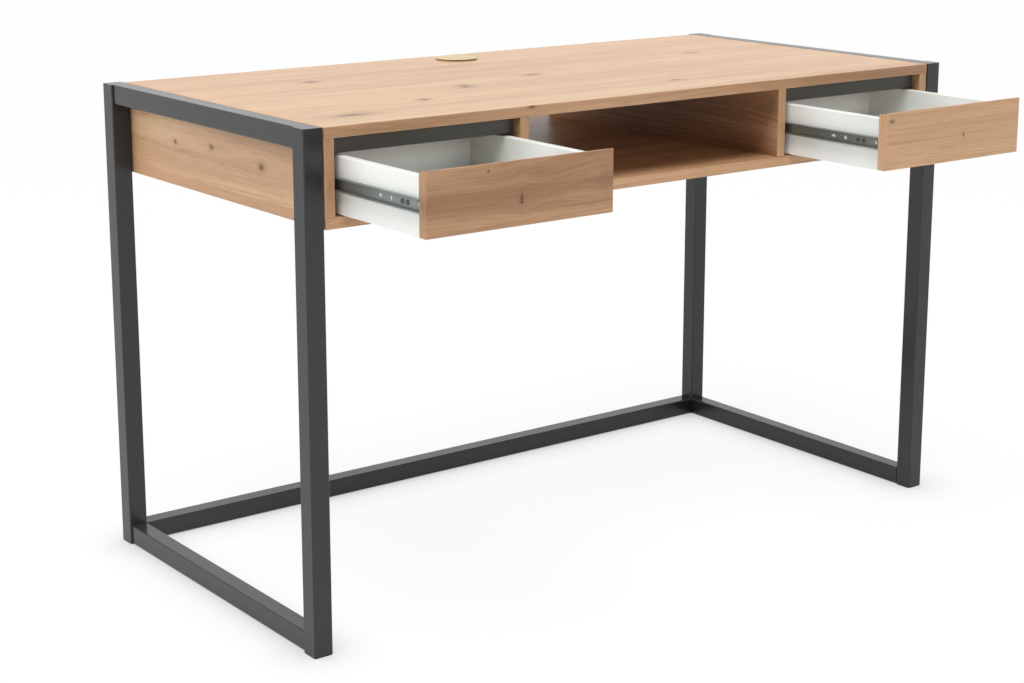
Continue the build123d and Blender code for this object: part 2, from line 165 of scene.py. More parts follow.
BACK_KNOTS = (
    Knot(-0.350, 0.690, BACK, 0.0050, 1.3, 0.9),
    Knot(0.470, 0.655, BACK, 0.0040, 1.5, 0.9),
)

BOARDS = (
    Board(
        "oak_desktop", ("top_panel",), "xyz", "yxz", DESKTOP_KNOTS,
        ripeness=0.34, depth=0.8, strips=0.32,
    ),
    Board(
        "oak_uprights", ("left_side_panel", "right_side_panel"), "yzx", "zxy", SIDE_KNOTS,
        ripeness=0.44, depth=0.95, strips=0.22,
    ),
    # These two boards are darker than the others, with lighter edge faces: the darker tone is painted shade
    # of the dim bay, and the edges keep the tone of the other boards' edges.
    Board(
        "oak_lower_board", ("bottom_panel",), "xyz", "yxz", LOWER_KNOTS,
        ripeness=0.80, depth=0.8, strips=-0.20, gloss=0.28,
    ),
    Board(
        "oak_dividers", ("left_divider", "right_divider"), "yzx", "zxy", DIVIDER_KNOTS,
        ripeness=0.80, depth=0.95, strips=-0.14, gloss=0.28,
    ),
    # Darker than the right front: partly the board's own tone, partly painted shade for the weaker light on
    # the left front.
    Board(
        "oak_left_front", ("left_drawer_front",), "xzy", "zyx", LEFT_FRONT_KNOTS,
        ripeness=0.74, depth=1.05, bands=(Band(0.675, 0.013, 0.38),),
    ),
    Board(
        "oak_right_front", ("right_drawer_front",), "xzy", "zyx", RIGHT_FRONT_KNOTS,
        ripeness=0.40, depth=0.80,
    ),
    Board(
        "oak_backs", ("left_back_panel", "right_back_panel"), "xzy", "zyx", BACK_KNOTS,
        ripeness=0.42, depth=0.95, strips=0.16,
    ),
)


# Noise in the finishes

class Layer(NamedTuple):
    """A layer of noise: its features per metre on each of three axes, its detail and its roughness.

    Where a span is given, the layer goes smoothly from 0 to 1 while the noise goes through that span.
    """

    scale: tuple
    detail: float = 1.0
    roughness: float = 0.5
    span: tuple = None


NOISE_MEAN = 0.5
NOISE_SPAN = (0.30, 0.70)

# Layers of the oak, with their features along the grain, across it and through the board

DRIFT = Layer((1.5, 8.0, 8.0))
WANDER = Layer((2.6, 34.0, 34.0))
FIGURE = Layer((1.3, 5.0, 9.0), span=(0.40, 0.62))
BROAD = Layer((1.4, 17.0, 17.0), detail=3.0, span=NOISE_SPAN)
STREAK = Layer((1.1, 60.0, 60.0), detail=2.0, span=NOISE_SPAN)
FIBRE = Layer((3.0, 430.0, 430.0), detail=3.0, roughness=0.6)
PORE = Layer((24.0, 1150.0, 1150.0), span=(0.58, 0.70))
SMUDGE = Layer((2.2, 26.0, 26.0), span=(0.64, 0.80))
DASH = Layer((17.0, 210.0, 210.0), detail=2.0, span=(0.53, 0.74))

# Layers of the other finishes

COAT_CLOUD = Layer((7.0, 7.0, 7.0), detail=3.0, span=NOISE_SPAN)
PLATE_CLOUD = Layer((26.0, 14.0, 26.0), detail=3.0, span=NOISE_SPAN)
PIN_CLOUD = Layer((60.0, 60.0, 60.0), detail=2.0, span=NOISE_SPAN)
PIN_FLECK = Layer((900.0, 900.0, 300.0), span=(0.55, 0.70))
FLOOR_GRIT = Layer((180.0, 180.0, 180.0), detail=2.0)

# Crystals of the plating per metre, and flecks of a coat for each of its grains

CRYSTALS = (260.0, 90.0, 260.0)
FLECKS_PER_GRAIN = 2.3

# Oak: how many rings a growth line wavers by, and the power with which it darkens to its late wood

RING_WANDER = 3.2
LATE_POWER = 2.0

# Oak round a knot: reach on the growth lines by its core, strength, and weight of the way along the grain

KNOT_REACH = 2.4
KNOT_PARTING = 0.55
KNOT_DRAW = 0.2

# Oak: share of each layer in the tone, and the mean of the growth lines

BROAD_TONE = 0.40
STREAK_TONE = 0.22
RING_TONE = 0.30
RING_MEAN = 0.17
FIBRE_TONE = 0.46

# Oak: share of the figure that the ends lose, and how far a band wanders in metres

END_CALM = 0.6
BAND_WANDER = 0.02

# Oak: scale of the tone on its ramp, the ramp's stops, and the shade at its dark end

TONE_SCALE = 0.70
TONE_STOPS = (0.0, 0.30, 0.70, 1.0)
DEEPEST = 0.55

# Oak: marks laid over the tone, and the spans over which a knot's stain and heart set in

SMUDGE_MARK = 0.22
DASH_MARK = 0.30
PORE_MARK = 0.20
STAIN_MARK = 0.62
HEART_MARK = 0.88
DASH_SHADE = 0.9
STAIN_SHADE = 0.8
STAIN_SPAN = (0.03, 0.55)
HEART_SPAN = (0.46, 0.74)

# Oak: relief and roughness

FIBRE_RISE = 0.5
PORE_DIP = 0.35
RING_DIP = 0.25
HEART_DIP = 0.4
HEART_DIP_SPAN = (0.5, 0.9)
OAK_RELIEF = 0.22
OAK_BUMP = 0.0004
OAK_ROUGHNESS = 0.36
FIBRE_ROUGHNESS = 0.20
PORE_ROUGHNESS = 0.10

# A face looks along an axis where that part of its direction is above this

SQUARE_ON = 0.7

# Depth of the bump on all finishes but oak

FINE_BUMP = 0.0002

# Turned pieces: sharpest angle that is still smooth, steps of a head's arc, points round a ball and along it

SMOOTH_ANGLE = math.radians(32)
HEAD_STEPS = 18
BALL_TURNS = 16
BALL_STEPS = 11

# Screws and bolts: tip by the shank's radius, places of tip and taper by the length, seat by the head

TIP_RADIUS = 0.4
TIP_PLACE = 0.96
TAPER_PLACE = 0.75
SEAT_RADIUS = 0.96

# Heads: how much of the rise is arched

PAN_CROWN = 0.7
FLUSH_CROWN = 0.12
BUTTON_CROWN = 0.8

# Recesses: sizes by the head's radius, depths by the head's rise, walls by the recess

CROSS_REACH = 0.64
CROSS_HALF_WIDTH = 0.16
CROSS_DEPTH = 0.62
CROSS_WALL = 0.35
KEY_REACH = 0.36
KEY_DEPTH = 0.6
KEY_WALL = 0.12
KEY_FLATS = np.radians((0, 60, 120))


# Stage

class Lamp(NamedTuple):
    """A rectangular lamp: its place, the point that it faces, and its width and height, in metres."""

    place: tuple
    target: tuple
    size: tuple


LAMPS = {
    "beside": Lamp((-4.86, 1.44, 3.12), (0.0, 0.0, 0.6), (4.3, 2.9)),
    "opposite": Lamp((2.8, 0.2, 1.9), (0.0, 0.0, 0.6), (2.4, 1.2)),
    "ahead": Lamp((0.3, -3.6, 1.75), (0.0, -0.3, 0.68), (3.0, 1.0)),
}
OVERHEAD_PLACE = (-0.85, -0.85, 3.0)
WHITE = (1.0, 1.0, 1.0)
FLOOR_DIM = (0.86, 0.86, 0.86)
FLOOR_PALE = (0.92, 0.92, 0.92)
FLOOR_WHITENESS = 0.93
FLOOR_RELIEF = 0.02
CONTACT_SAMPLES = 6
FLOOR_LINES = 5
SENSOR_WIDTH = 36


def screen(red, green, blue):
    """A screen colour, 0 to 255, as the linear colour that a shader takes."""
    share = np.array((red, green, blue)) / 255
    linear = np.where(share <= 0.04045, share / 12.92, ((share + 0.055) / 1.055) ** 2.4)
    return tuple(float(part) for part in linear)


# Values that the user may change

def colour_prop(name, description, default):
    """A colour."""
    return FloatVectorProperty(
        name=name, description=description, default=default, size=3, min=0, max=1, subtype="COLOR"
    )


def length_prop(name, description, default):
    """A length in metres."""
    return FloatProperty(
        name=name, description=description, default=default, min=0, precision=4, unit="LENGTH"
    )


def angle_prop(name, description, degrees):
    """An angle, given in degrees."""
    return FloatProperty(name=name, description=description, default=math.radians(degrees), subtype="ANGLE")


def power_prop(name, description, default):
    """A lamp's power in watts."""
    return FloatProperty(name=name, description=description, default=default, min=0, unit="POWER")


def strength_prop(name, description, default):
    """A light's strength."""
    return FloatProperty(name=name, description=description, default=default, min=0)


class DeskColours(bpy.types.PropertyGroup):
    """Colours of the finishes."""

    oak_light: colour_prop("Oak, light", "Early wood of the oak boards", screen(214, 181, 142))
    oak_middle: colour_prop("Oak, middle", "General tone of the oak boards", screen(198, 158, 121))
    oak_dark: colour_prop("Oak, dark", "Late wood and streaks of the oak boards", screen(154, 114, 82))
    oak_knot: colour_prop("Oak, knots", "Hearts of the knots and the pores", screen(88, 62, 40))
    steel: colour_prop("Frame", "Powder coat of the steel frame", screen(40, 41, 42))
    grip: colour_prop("Grip rail", "Dark boards behind the finger gaps", screen(70, 69, 64))
    white: colour_prop("Drawer box", "White boards of the drawer boxes", screen(236, 238, 234))
    zinc: colour_prop("Slides", "Zinc plating of the drawer slides", screen(146, 153, 149))
    bright: colour_prop("Fasteners", "Plating of screws, bolts and balls", screen(104, 106, 104))
    black: colour_prop("Plastic", "Glides under the legs and spacers", screen(38, 38, 39))
    outlet: colour_prop("Cable outlet", "Lid and ring in the desk top", screen(206, 187, 150))
    dowel: colour_prop("Dowels", "Beech pins in the joints", screen(212, 183, 147))


class DeskSizes(bpy.types.PropertyGroup):
    """Sizes of the small fittings and of the wood figure."""

    ring_spacing: length_prop("Ring spacing", "Distance between growth lines on a board", 0.0075)
    ring_drift: length_prop("Ring drift", "How far growth lines wander across a board", 0.055)
    lid_rim: length_prop("Lid rim", "Height of the lid at its edge", 0.0009)
    lid_lift: length_prop("Lid lift", "How far the lid's edge stands above its seat", 0.0011)
    lid_plug: length_prop("Lid plug", "Radius of the plug under the lid", 0.0272)
    lid_plug_depth: length_prop("Plug depth", "How far the plug goes into the ring", 0.0040)
    ring_bore: length_prop("Ring bore", "Inner radius of the ring in the desk top", 0.0278)
    ring_body: length_prop("Ring body", "Outer radius of the ring inside the desk top", 0.0297)
    ring_flange: length_prop("Ring flange", "Height of the ring's flange on the desk top", 0.0012)
    screw_head: length_prop("Screw head", "Radius of a screw head", 0.0035)
    screw_shank: length_prop("Screw shank", "Radius of a screw in the wood", 0.00175)
    screw_length: length_prop("Screw length", "Length of a screw under its head", 0.0110)
    screw_rise: length_prop("Screw rise", "Height of a pan head", 0.0018)
    sheet: length_prop("Slide sheet", "Thickness of the slide members", 0.0012)
    bolt_head: length_prop("Bolt head", "Radius of a frame bolt's head", 0.0045)
    bolt_shank: length_prop("Bolt shank", "Radius of a frame bolt", 0.0025)
    bolt_rise: length_prop("Bolt rise", "Height of a frame bolt's head", 0.0028)
    turns: IntProperty(name="Turns", description="Points round a turned piece", default=48, min=12, max=128)


class DeskStage(bpy.types.PropertyGroup):
    """Camera, floor and light."""

    camera: FloatVectorProperty(
        name="Camera",
        description="Place of the camera",
        default=(-1.9676, -2.5425, 1.1458),
        size=3,
        unit="LENGTH",
    )
    heading: angle_prop("Heading", "Turn to the right of straight ahead", 36.97)
    tilt: angle_prop("Tilt", "How far the camera looks down", 12.415)
    lens: FloatProperty(name="Lens", description="Focal length", default=69.86, min=10, unit="CAMERA")
    shift: FloatProperty(name="Shift", description="Rise and fall of the lens", default=-0.0796)
    floor: length_prop("Floor", "Half width of the floor", 14.0)
    contact: length_prop("Contact shade", "How far shade spreads on the floor from feet and rails", 0.09)
    contact_depth: FloatProperty(
        name="Contact depth",
        description="Strength of that shade",
        default=0.62,
        min=0,
        max=1,
        subtype="FACTOR",
    )
    sky: strength_prop("Sky", "Strength of the light all round", 0.02)
    overhead: strength_prop("Overhead", "Strength of the wide light above", 3.05)
    spread: angle_prop("Spread", "Width of the light above", 28)
    beside: power_prop("Beside", "Power of the lamp on the left", 148.0)
    opposite: power_prop("Opposite", "Power of the lamp on the right", 14.0)
    ahead: power_prop("Ahead", "Power of the low lamp in front", 25.0)


# Shader nodes as expressions

class Value:
    """A shader socket in a Python expression: each operator adds one Math node."""

    def __init__(self, nodes, socket):
        self.nodes = nodes
        self.socket = socket

    def other(self, output):
        """Another output of the same node."""
        return Value(self.nodes, self.socket.node.outputs[output])

    def math(self, operation, *values):
        """A Math node on this value and any others."""
        return self.nodes.node("ShaderNodeMath", {"operation": operation}, dict(enumerate((self, *values))))

    def before(self, operation, first):
        """A Math node with this value in second place."""
        return self.nodes.node("ShaderNodeMath", {"operation": operation}, {0: first, 1: self})

    def __add__(self, value):
        return self.math("ADD", value)

    def __sub__(self, value):
        return self.math("SUBTRACT", value)

    def __mul__(self, value):
        return self.math("MULTIPLY", value)

    def __truediv__(self, value):
        return self.math("DIVIDE", value)

    def __pow__(self, value):
        return self.math("POWER", value)

    def __abs__(self):
        return self.math("ABSOLUTE")

    def __rsub__(self, value):
        return self.before("SUBTRACT", value)

    def __rtruediv__(self, value):
        return self.before("DIVIDE", value)

    __radd__ = __add__
    __rmul__ = __mul__


class Nodes:
    """A node tree that is filled by expressions."""

    # The Mix node's sockets for colours
    mix_first, mix_second, mix_output = 6, 7, 2

    def __init__(self, tree):
        self.tree = tree
        tree.nodes.clear()

    def node(self, kind, settings=None, sockets=None, output=0):
        """Adds a node, makes its settings, then fills its sockets with values or links."""
        made = self.tree.nodes.new(kind)
        for name, value in (settings or {}).items():
            if name == "stops":
                self.set_stops(made.color_ramp, value)
            else:
                setattr(made, name, value)
        for name, value in (sockets or {}).items():
            socket = made.inputs[name]
            if isinstance(value, Value):
                self.tree.links.new(value.socket, socket)
            else:
                socket.default_value = value
        return Value(self, made.outputs[output]) if made.outputs else made

    def set_stops(self, ramp, stops):
        """Gives a colour ramp its stops, each a place and a colour."""
        while len(ramp.elements) < len(stops):
            ramp.elements.new(1)
        for element, (place, colour) in zip(ramp.elements, stops):
            element.position = place
            element.color = (*colour, 1)

    def point(self):
        """The surface point in the desk's own frame."""
        return self.node("ShaderNodeTexCoord", output="Object")

    def split(self, vector):
        """The three parts of a vector."""
        x = self.node("ShaderNodeSeparateXYZ", None, {0: vector})
        return x, x.other("Y"), x.other("Z")

    def joined(self, x, y, z):
        """A vector from three values."""
        return self.node("ShaderNodeCombineXYZ", None, {0: x, 1: y, 2: z})

    def scaled(self, vector, factors):
        """A vector with each part multiplied by its own number."""
        return self.node("ShaderNodeVectorMath", {"operation": "MULTIPLY"}, {0: vector, 1: factors})

    def noise(self, vector, layer):
        """A layer of smooth noise, which lies about 0.3 to 0.7 where the layer has no span."""
        sockets = {
            "Vector": self.scaled(vector, layer.scale),
            "Scale": 1.0,
            "Detail": layer.detail,
            "Roughness": layer.roughness,
        }
        noise = self.node("ShaderNodeTexNoise", None, sockets)
        return self.ease(noise, layer.span) if layer.span else noise

    def ease(self, value, span):
        """A smooth step from 0 to 1 while the value goes through a span."""
        sockets = {"Value": value, "From Min": span[0], "From Max": span[1]}
        return self.node("ShaderNodeMapRange", {"interpolation_type": "SMOOTHSTEP"}, sockets)

    def blend(self, factor, first, second):
        """A colour between two colours."""
        sockets = {0: factor}
        for key, colour in ((self.mix_first, first), (self.mix_second, second)):
            sockets[key] = colour if isinstance(colour, Value) else (*colour, 1)
        return self.node("ShaderNodeMix", {"data_type": "RGBA"}, sockets, self.mix_output)

    def bump(self, height, strength, distance=FINE_BUMP):
        """A surface direction from a height."""
        sockets = {"Height": height, "Strength": strength, "Distance": distance}
        return self.node("ShaderNodeBump", None, sockets)

    def seen(self):
        """1 where the camera looks straight, through glass or in a reflection, and 0 where light falls."""
        path = self.node("ShaderNodeLightPath", output="Is Camera Ray")
        through = path.math("MAXIMUM", path.other("Is Transmission Ray"))
        return through.math("MAXIMUM", path.other("Is Glossy Ray"))

    def surface(self, **sockets):
        """The finished surface; socket names are written with underscores."""
        named = {name.replace("_", " "): value for name, value in sockets.items()}
        shader = self.node("ShaderNodeBsdfPrincipled", None, named)
        self.node("ShaderNodeOutputMaterial", None, {"Surface": shader})


def new_finish(name):
    """An empty material and its nodes."""
    material = bpy.data.materials.new(name)
    material.use_nodes = True
    return material, Nodes(material.node_tree)


def shade(colour, factor):
    """A colour made lighter or darker."""
    return tuple(min(1.0, part * factor) for part in colour)


def give(material, names):
    """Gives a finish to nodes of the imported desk."""
    for name in names:
        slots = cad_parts[name].material_slots
        if not slots:
            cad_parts[name].data.materials.append(material)
        for slot in slots:
            slot.link = "OBJECT"
            slot.material = material


# Finishes

def oak_finish(board, colours, sizes):
    """Oak: growth lines that wander and part round knots, fibres, pores and slow changes of tone.

    A growth line runs from light to dark as the place across the grain, moved by noise, goes through one
    ring spacing. A knot pushes that place aside by its distance, less and less further out, and its heart
    and stain fall off with the square of the distance.
    """
    material, n = new_finish(board.name)
    parts = dict(zip("xyz", n.split(n.point())))
    facing = dict(zip("xyz", n.split(n.node("ShaderNodeTexCoord", output="Normal"))))
    on_end = abs(facing[board.axes[0]]).math("GREATER_THAN", SQUARE_ON)
    on_strip = abs(facing[board.axes[2]]).math("LESS_THAN", SQUARE_ON)
    u, v, w = (parts[a] + (parts[b] - parts[a]) * on_end for a, b in zip(board.axes, board.end_axes))
    face_u, face_v, face_w = (parts[a] for a in board.axes)

    across, heart, stain = v, None, None
    for knot in board.knots:
        along = (face_u - knot.along) / knot.stretch
        beside = face_v - knot.across
        deep = face_w - knot.through
        near = beside * beside + deep * deep
        reach = (KNOT_REACH * knot.core) ** 2
        across = across - beside * KNOT_PARTING * (reach / (along * along * KNOT_DRAW + near + reach))
        mark = (knot.core**2 * knot.darkness) / (along * along + near + knot.core**2)
        heart = mark if heart is None else heart.math("MAXIMUM", mark)
        stain = mark if stain is None else stain + mark

    place = n.joined(u, across, w)
    wander = n.noise(place, WANDER) - NOISE_MEAN
    drift = (n.noise(place, DRIFT) - NOISE_MEAN) * (2 * sizes.ring_drift)
    ring = (across + w + drift) / sizes.ring_spacing + wander * RING_WANDER
    late = ring.math("FRACT") ** LATE_POWER * n.noise(place, FIGURE)
    fibre = n.noise(place, FIBRE)
    pore = n.noise(place, PORE)

    swing = (
        (n.noise(place, BROAD) - NOISE_MEAN) * BROAD_TONE
        + (n.noise(place, STREAK) - NOISE_MEAN) * STREAK_TONE
        + (late - RING_MEAN) * RING_TONE
        + (fibre - NOISE_MEAN) * FIBRE_TONE
    )
    strength = board.depth - on_end * (END_CALM * board.depth)
    # The strips value adds painted shade to the edge faces: darker edges, or lighter ones where it is below
    # 0.
    tone = board.ripeness + on_strip * board.strips + swing * strength
    for band in board.bands:
        away = (face_v - band.place + wander * BAND_WANDER) / band.half_width
        tone = tone + band.change / (away * away + 1.0)

    dark, knot_colour = colours.oak_dark, colours.oak_knot
    tones = (colours.oak_light, colours.oak_middle, dark, shade(dark, DEEPEST))
    wood = n.node("ShaderNodeValToRGB", {"stops": tuple(zip(TONE_STOPS, tones))}, {0: tone * TONE_SCALE})
    dashes = n.noise(place, SMUDGE) * SMUDGE_MARK + n.noise(place, DASH) * (DASH_MARK * board.depth)
    wood = n.blend(dashes, wood, shade(dark, DASH_SHADE))
    wood = n.blend(pore * PORE_MARK, wood, knot_colour)
    wood = n.blend(n.ease(stain, STAIN_SPAN) * STAIN_MARK, wood, shade(dark, STAIN_SHADE))
    wood = n.blend(n.ease(heart, HEART_SPAN) * HEART_MARK, wood, knot_colour)

    dips = pore * PORE_DIP + late * RING_DIP + n.ease(heart, HEART_DIP_SPAN) * HEART_DIP
    n.surface(
        Base_Color=wood,
        Roughness=OAK_ROUGHNESS + (fibre - NOISE_MEAN) * FIBRE_ROUGHNESS + pore * PORE_ROUGHNESS,
        Specular_IOR_Level=board.gloss,
        Normal=n.bump(fibre * FIBRE_RISE - dips, OAK_RELIEF, OAK_BUMP),
    )
    return material


def coated_finish(name, colour, roughness, grains, relief, gloss=0.5):
    """Sprayed or pressed coat: a fine orange-peel skin, flecks and a slow change of tone."""
    material, n = new_finish(name)
    point = n.point()
    peel = n.noise(point, Layer((grains, grains, grains), detail=2.0, roughness=0.55))
    cloud = n.noise(point, COAT_CLOUD)
    flecks = FLECKS_PER_GRAIN * grains
    fleck = n.noise(point, Layer((flecks, flecks, flecks), span=NOISE_SPAN))
    dim, bright, deep = (shade(colour, factor) for factor in (0.94, 1.05, 0.86))
    fleck_mark, peel_roughness, cloud_roughness = 0.25, 0.16, 0.05
    uneven = (peel - NOISE_MEAN) * peel_roughness + (cloud - NOISE_MEAN) * cloud_roughness
    n.surface(
        Base_Color=n.blend(fleck * fleck_mark, n.blend(cloud, dim, bright), deep),
        Roughness=roughness + uneven,
        Specular_IOR_Level=gloss,
        Normal=n.bump(peel, relief),
    )
    return material


def plated_finish(name, colour, roughness, marks, metal=0.95):
    """Plated steel: a faint crystal pattern under rolling marks, whose number per metre is given by axis."""
    material, n = new_finish(name)
    point = n.point()
    sockets = {"Vector": n.scaled(point, CRYSTALS), "Scale": 1.0}
    crystal, haze, _ = n.split(n.node("ShaderNodeTexVoronoi", None, sockets, output="Color"))
    mark = n.noise(point, Layer(marks, detail=2.0, roughness=0.6))
    cloud = n.noise(point, PLATE_CLOUD)
    crystal_tone, cloud_tone, mark_tone = 0.25, 0.45, 0.6
    haze_roughness, mark_roughness = 0.07, 0.22
    cloud_dullness, relief = 0.08, 0.10
    light, deep = (shade(colour, factor) for factor in (1.12, 0.72))
    tone = crystal * crystal_tone + cloud * cloud_tone + (mark - NOISE_MEAN) * mark_tone
    n.surface(
        Base_Color=n.blend(tone, light, deep),
        Metallic=metal - cloud * cloud_dullness,
        Roughness=roughness + haze * haze_roughness + (mark - NOISE_MEAN) * mark_roughness,
        Normal=n.bump(mark, relief),
    )
    return material


def beech_finish(name, colour):
    """Beech pins: short flecks and a slow change of tone."""
    material, n = new_finish(name)
    point = n.point()
    fleck = n.noise(point, PIN_FLECK)
    cloud = n.noise(point, PIN_CLOUD)
    fleck_mark, roughness, fleck_roughness, relief = 0.4, 0.55, 0.15, 0.15
    light, dim, deep = (shade(colour, factor) for factor in (1.05, 0.86, 0.6))
    n.surface(
        Base_Color=n.blend(fleck * fleck_mark, n.blend(cloud, light, dim), deep),
        Roughness=roughness + fleck * fleck_roughness,
        Normal=n.bump(fleck, relief),
    )
    return material


# Shapes: each is its points and a tuple of arrays of faces

def carried_round(radius, height, turns):
    """A profile carried round Z: row i is (r_i cos t, r_i sin t, h_i), with t over a full turn."""
    angle = np.linspace(0, 2 * np.pi, turns, endpoint=False)
    x = np.outer(radius, np.cos(angle))
    y = np.outer(radius, np.sin(angle))
    z = np.repeat(height[:, None], turns, 1)
    return np.stack((x, y, z), -1).reshape(-1, 3)


def grid_quads(rows, turns, closed):
    """Faces between neighbouring rows of a round grid; a closed one also joins the last row to the first."""
    row = np.arange(rows if closed else rows - 1)[:, None]
    step = np.arange(turns)[None, :]
    above = (row + 1) % rows
    after = (step + 1) % turns
    corners = (row * turns + step, row * turns + after, above * turns + after, above * turns + step)
    return np.stack(np.broadcast_arrays(*corners), -1).reshape(-1, 4)


def turned(radius, height, turns, cut=None):
    """A round form: a profile that starts and ends on the axis, carried round Z.

    One point and a fan close it at each end. Above z = 0 each point is lowered by the cut at its x and y.
    """
    ends = np.array(((0, 0, height[0]), (0, 0, height[-1])), float)
    points = np.concatenate((carried_round(radius[1:-1], height[1:-1], turns), ends))
    if cut is not None:
        x, y, z = points.T
        points[:, 2] = z - np.where(z > 0, cut(x, y), 0)
    rows = len(radius) - 2
    here = np.arange(turns)
    after = (here + 1) % turns
    foot, tip = rows * turns, rows * turns + 1
    last_row = (rows - 1) * turns
    foot_fan = np.stack((np.full(turns, foot), after, here), -1)
    tip_fan = np.stack((np.full(turns, tip), here + last_row, after + last_row), -1)
    return points, (grid_quads(rows, turns, False), foot_fan, tip_fan)


def turned_ring(radius, height, turns):
    """A ring: a closed profile carried round Z."""
    return carried_round(radius, height, turns), (grid_quads(len(radius), turns, True),)


def placed(shape, origin, direction):
    """A shape drawn along Z, moved so that its foot is at the origin and its Z points along an axis."""
    points, faces = shape
    up = np.array(direction, float)
    side = np.array((0.0, 0.0, 1.0)) if abs(up[2]) < 0.5 else np.array((1.0, 0.0, 0.0))
    turn = np.stack((side, np.cross(up, side), up))
    return points @ turn + np.array(origin), faces


def add_piece(name, shapes, material, body, nodes):
    """One object from several shapes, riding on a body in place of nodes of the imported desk."""
    starts = np.cumsum([0] + [len(points) for points, _ in shapes])
    faces = []
    for (_, groups), start in zip(shapes, starts):
        for group in groups:
            faces += (group + start).tolist()
    mesh = bpy.data.meshes.new(name)
    mesh.from_pydata(np.concatenate([points for points, _ in shapes]), [], faces)
    if mesh.validate():
        raise RuntimeError(f"{name} has faces that are not sound")
    mesh.shade_smooth()
    mesh.set_sharp_from_angle(angle=SMOOTH_ANGLE)
    mesh.materials.append(material)
    piece = bpy.data.objects.new(name, mesh)
    bpy.context.scene.collection.objects.link(piece)
    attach(piece, body)
    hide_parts(*nodes)


def box_of(node):
    """Low corner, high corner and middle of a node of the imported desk."""
    low, high = (np.array(corner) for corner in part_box(node))
    return low, high, (low + high) / 2


def cross_recess(reach, half_width, depth):
    """A cross-shaped driver recess: deepest in the middle, shallower towards the ends of its four arms.

    Its depth falls with the root of the way left to an arm's end, and over a narrow wall at an arm's side.
    """

    def cut(x, y):
        narrow = np.minimum(abs(x), abs(y))
        far = np.maximum(abs(x), abs(y))
        wall = np.clip((half_width - narrow) / (CROSS_WALL * half_width), 0, 1)
        return depth * wall * np.sqrt(np.clip(1 - far / reach, 0, 1))

    return cut


def six_sided_recess(reach, depth):
    """A six-sided key recess: full depth where the point lies inside all three pairs of flats."""

    def cut(x, y):
        across = np.max([abs(x * np.cos(a) + y * np.sin(a)) for a in KEY_FLATS], axis=0)
        return depth * np.clip((reach - across) / (KEY_WALL * reach), 0, 1)

    return cut


def headed(head, rise, crown, shank, length, turns, cut):
    """A screw or bolt: a pointed shank, then a head whose top is a flattened arc of the given crown.

    The head's profile is (R cos s, low + (rise - low) sin s) for s from 0 to a quarter turn.
    """
    low = rise * (1 - crown)
    steps = np.linspace(0, np.pi / 2, HEAD_STEPS)
    shank_r = (0, TIP_RADIUS * shank, shank, shank, SEAT_RADIUS * head)
    shank_z = (-length, -TIP_PLACE * length, -TAPER_PLACE * length, 0, 0)
    radius = np.concatenate((shank_r, head * np.cos(steps)))
    height = np.concatenate((shank_z, low + (rise - low) * np.sin(steps)))
    radius[-1] = 0
    return turned(radius, height, turns, cut)


# Operators, one for each piece or group of like pieces

class DESK_OT_boards(bpy.types.Operator):
    """Oak grain on the carcass boards and the drawer fronts"""

    bl_idname = "desk.boards"
    bl_label = "Oak boards"

    def execute(self, context):
        for board in BOARDS:
            finish = oak_finish(board, context.scene.desk_colours, context.scene.desk_sizes)
            give(finish, board.nodes)
        return {"FINISHED"}


class DESK_OT_frame(bpy.types.Operator):
    """Powder coat on the steel frame, plating inside its tubes, and plastic glides and spacers"""

    bl_idname = "desk.frame"
    bl_label = "Steel frame"

    def execute(self, context):
        colours = context.scene.desk_colours
        coat = coated_finish(
            "frame_powder_coat", colours.steel, roughness=0.24, grains=1300.0, relief=0.05, gloss=0.45
        )
        give(coat, [*FRAME_NODES, "rear_stretcher"])
        plating = plated_finish("frame_plating", colours.bright, roughness=0.34, marks=(700.0, 700.0, 700.0))
        give(plating, ("stretcher_spigots", "frame_nuts"))
        plastic = coated_finish("black_plastic", colours.black, roughness=0.48, grains=1500.0, relief=0.12)
        give(plastic, ("foot_glides", "frame_spacers"))
        return {"FINISHED"}


class DESK_OT_drawers(bpy.types.Operator):
    """White boards of the drawer boxes, dark grip rails and the dowels"""

    bl_idname = "desk.drawers"
    bl_label = "Drawer boxes"

    # The thin bottoms are a little darker than the boards
    bottom_shade = 0.97

    def execute(self, context):
        colours = context.scene.desk_colours
        board = coated_finish("white_board", colours.white, roughness=0.34, grains=700.0, relief=0.06)
        give(board, BOX_NODES)
        thin_white = shade(colours.white, self.bottom_shade)
        thin_board = coated_finish("white_hardboard", thin_white, roughness=0.42, grains=480.0, relief=0.10)
        give(thin_board, [f"{d}_bottom" for d in DRAWERS])
        grip = coated_finish("grip_board", colours.grip, roughness=0.46, grains=900.0, relief=0.10)
        give(grip, [f"{s}_grip_rail" for s in SIDES])
        pins = [f"{d}_dowels" for d in DRAWERS]
        give(beech_finish("beech_pins", colours.dowel), ["carcass_dowels", *pins])
        return {"FINISHED"}


